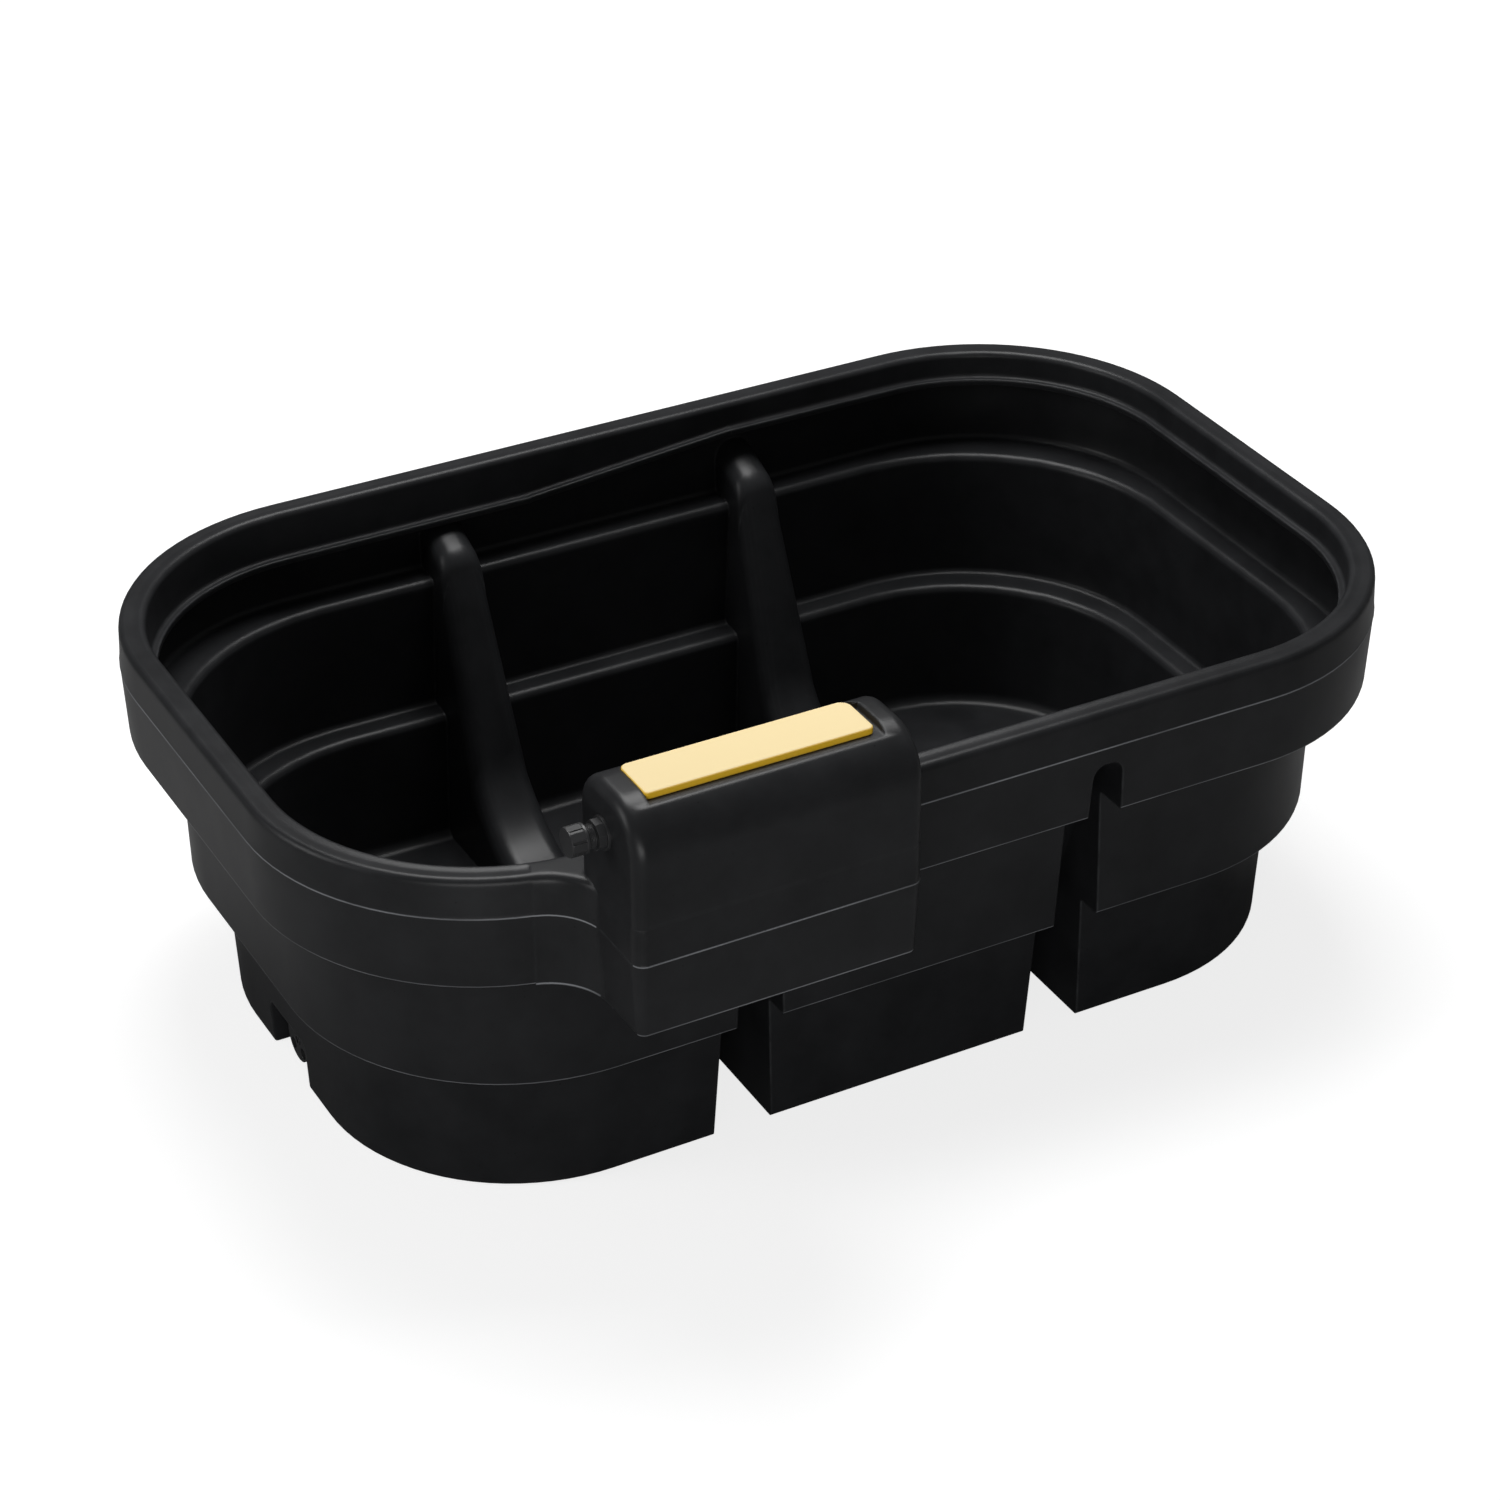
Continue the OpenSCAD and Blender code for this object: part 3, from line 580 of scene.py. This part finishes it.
# %% [markdown]
# ## Let the facets melt together
#
# The swept and lofted parts of the moulding are made of narrow flat facets. Their shape is
# right, but the light would show each one. Three modifiers on the shell change how it is
# shaded and not its shape: the doubled corners are joined, edges as sharp as a real one are
# kept apart, and what remains is shaded as one surface, the larger face counting for more.

# %% Shade the shell smoothly
# Faces that meet at a smaller angle belong to one rounding.
SHARPEST_BEND = math.radians(27)
# Corners closer together than this are one corner.
SAME_CORNER = 0.00001


def shade_smoothly(obj, edge_angle):
    joined = obj.modifiers.new("join corners", "WELD")
    joined.merge_threshold = SAME_CORNER
    kept = obj.modifiers.new("keep edges", "EDGE_SPLIT")
    kept.split_angle = edge_angle
    kept.use_edge_sharp = False
    shaded = obj.modifiers.new("shade by area", "WEIGHTED_NORMAL")
    shaded.mode = "FACE_AREA"
    return [modifier.name for modifier in obj.modifiers]


print("trough_shell:", shade_smoothly(nodes["trough_shell"], SHARPEST_BEND))

# %% [markdown]
# ## The stem's thread
#
# A thread is one small tooth carried round the stem and along it at once. The cell walks the
# helix in short steps, sets the tooth's outline down at each of them and joins the outlines.
# The tooth shrinks away at both ends, as it does where a moulded thread runs out. The stretch
# under the cap lies in the cap's wall, as a thread does that holds a cap.

# %% Wind the thread
STEM_RADIUS = 0.0132
RIDGE_HEIGHT = 0.0007
STEPS_PER_TURN = 40
RUN_OUT_STEPS = 14
# The tooth's outline: along the stem in pitches, and outwards in ridge heights.
TOOTH = ((-0.44, -0.15), (-0.1, 1.0), (0.1, 1.0), (0.44, -0.15))


def thread_outlines(start, end, centre):
    steps = int((end - start) / THREAD_PITCH * STEPS_PER_TURN)
    for step in range(steps + 1):
        angle = 2 * math.pi * step / STEPS_PER_TURN
        fade = min(1.0, step / RUN_OUT_STEPS, (steps - step) / RUN_OUT_STEPS)
        x = start + (end - start) * step / steps
        outline = []
        for along, out in TOOTH:
            radius = STEM_RADIUS + out * RIDGE_HEIGHT * (fade if out > 0 else 1)
            outline.append((x + along * THREAD_PITCH,
                            centre[0] + radius * math.cos(angle),
                            centre[1] + radius * math.sin(angle)))
        yield outline


def join_outlines(name, outlines):
    shape = bmesh.new()
    rings = [[shape.verts.new(corner) for corner in outline] for outline in outlines]
    count = len(rings[0])
    for first, second in zip(rings, rings[1:]):
        for i in range(count):
            j = (i + 1) % count
            shape.faces.new((first[i], first[j], second[j], second[i]))
    shape.faces.new(rings[0][::-1])
    shape.faces.new(rings[-1])
    bmesh.ops.recalc_face_normals(shape, faces=shape.faces)
    mesh = bpy.data.meshes.new(name)
    shape.to_mesh(mesh)
    shape.free()
    return mesh


nut_low, nut_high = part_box("inlet_lock_nut")
stem_centre = ((nut_low[1] + nut_high[1]) / 2, (nut_low[2] + nut_high[2]) / 2)
stem_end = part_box("valve_body")[0][0]
thread_mesh = join_outlines("inlet_thread", thread_outlines(
    stem_end + THREAD_PITCH, nut_low[0] - THREAD_PITCH / 2, stem_centre))
thread_mesh.materials.append(fitting)
thread = bpy.data.objects.new("inlet_thread", thread_mesh)
scene.collection.objects.link(thread)
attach(thread, "trough")
print("thread of", len(thread_mesh.vertices), "corners over",
      round((nut_low[0] - stem_end) * 1000, 1), "mm")

# %% [markdown]
# ## The studio
#
# Product pictures of dark plastic are lit with large soft boxes: one overhead draws the rims,
# one at the left draws the big rounding, and a low one fills the front without reaching over
# the rim, so that the basin stays dark. The world is white for the camera only. The floor is
# a grey paper that glows for the camera only, a little less close to the trough, so that it
# shows white and still shows the shadow, and white paper doesn't wash out the black.

# %% World and floor
FLOOR_REACH = 14.0
FLOOR_GAP = 0.0005
# The paper's glow: a distance from the origin and the strength there.
GLOW_NEAR = (1.6, 0.8)
GLOW_FAR = (4.0, 1.0)


def seen_by_camera(tree, for_camera, otherwise):
    path = add_node(tree, "ShaderNodeLightPath")
    return mix_values(tree, path.outputs["Is Camera Ray"], otherwise, for_camera)


def studio_world(name):
    world = bpy.data.worlds.new(name)
    world.use_nodes = True
    tree = world.node_tree
    tree.nodes.clear()
    output = tree.nodes.new("ShaderNodeOutputWorld")
    sky = add_node(tree, "ShaderNodeBackground", Color=(1, 1, 1, 1),
                   Strength=seen_by_camera(tree, for_camera=1.0, otherwise=0.1))
    tree.links.new(sky.outputs[0], output.inputs["Surface"])
    return world


def glowing_paper(name):
    material, tree, shader = new_material(name)
    grey = seen_by_camera(tree, for_camera=0.42, otherwise=0.3)
    tree.links.new(grey, shader.inputs["Base Color"])
    shader.inputs["Roughness"].default_value = 0.9
    shader.inputs["Specular IOR Level"].default_value = 0.1
    shader.inputs["Emission Color"].default_value = (1, 1, 1, 1)
    distance = calculate_vector(tree, "LENGTH", object_place(tree), result="Value")
    glow = add_node(tree, "ShaderNodeMapRange", Value=distance,
                    From_Min=GLOW_NEAR[0], To_Min=GLOW_NEAR[1],
                    From_Max=GLOW_FAR[0], To_Max=GLOW_FAR[1]).outputs["Result"]
    tree.links.new(seen_by_camera(tree, glow, 0.0), shader.inputs["Emission Strength"])
    return material


scene.world = studio_world("studio")
floor_mesh = bpy.data.meshes.new("floor")
floor_mesh.from_pydata(
    [(x, y, 0) for x, y in ((-1, -1), (1, -1), (1, 1), (-1, 1))], [], [(0, 1, 2, 3)])
floor_mesh.transform(Matrix.Scale(FLOOR_REACH, 4))
floor_mesh.materials.append(glowing_paper("white floor"))
floor = bpy.data.objects.new("floor", floor_mesh)
floor.location.z = -FLOOR_GAP
scene.collection.objects.link(floor)
print("floor", 2 * FLOOR_REACH, "m wide")


# %% Soft boxes
def soft_box(name, place, target, size, power):
    light = bpy.data.lights.new(name, "AREA")
    light.shape = "RECTANGLE"
    light.size, light.size_y = size
    light.energy = power
    lamp = bpy.data.objects.new(name, light)
    lamp.location = place
    direction = Vector(target) - Vector(place)
    lamp.rotation_euler = direction.to_track_quat("-Z", "Y").to_euler()
    scene.collection.objects.link(lamp)


soft_box("overhead", (0.3, 0.8, 3.4), (0, 0, 0.3), size=(2.2, 1.8), power=109)
soft_box("left side", (-3.6, 0.6, 1.6), (-0.3, 0, 0.4), size=(1.2, 1.6), power=27)
soft_box("low front", (-2.2, -4.0, 0.6), (0, 0, 0.3), size=(3.0, 0.9), power=54)
print("three soft boxes")

# %% [markdown]
# ## The end

# %% Finish
print("scene finished")
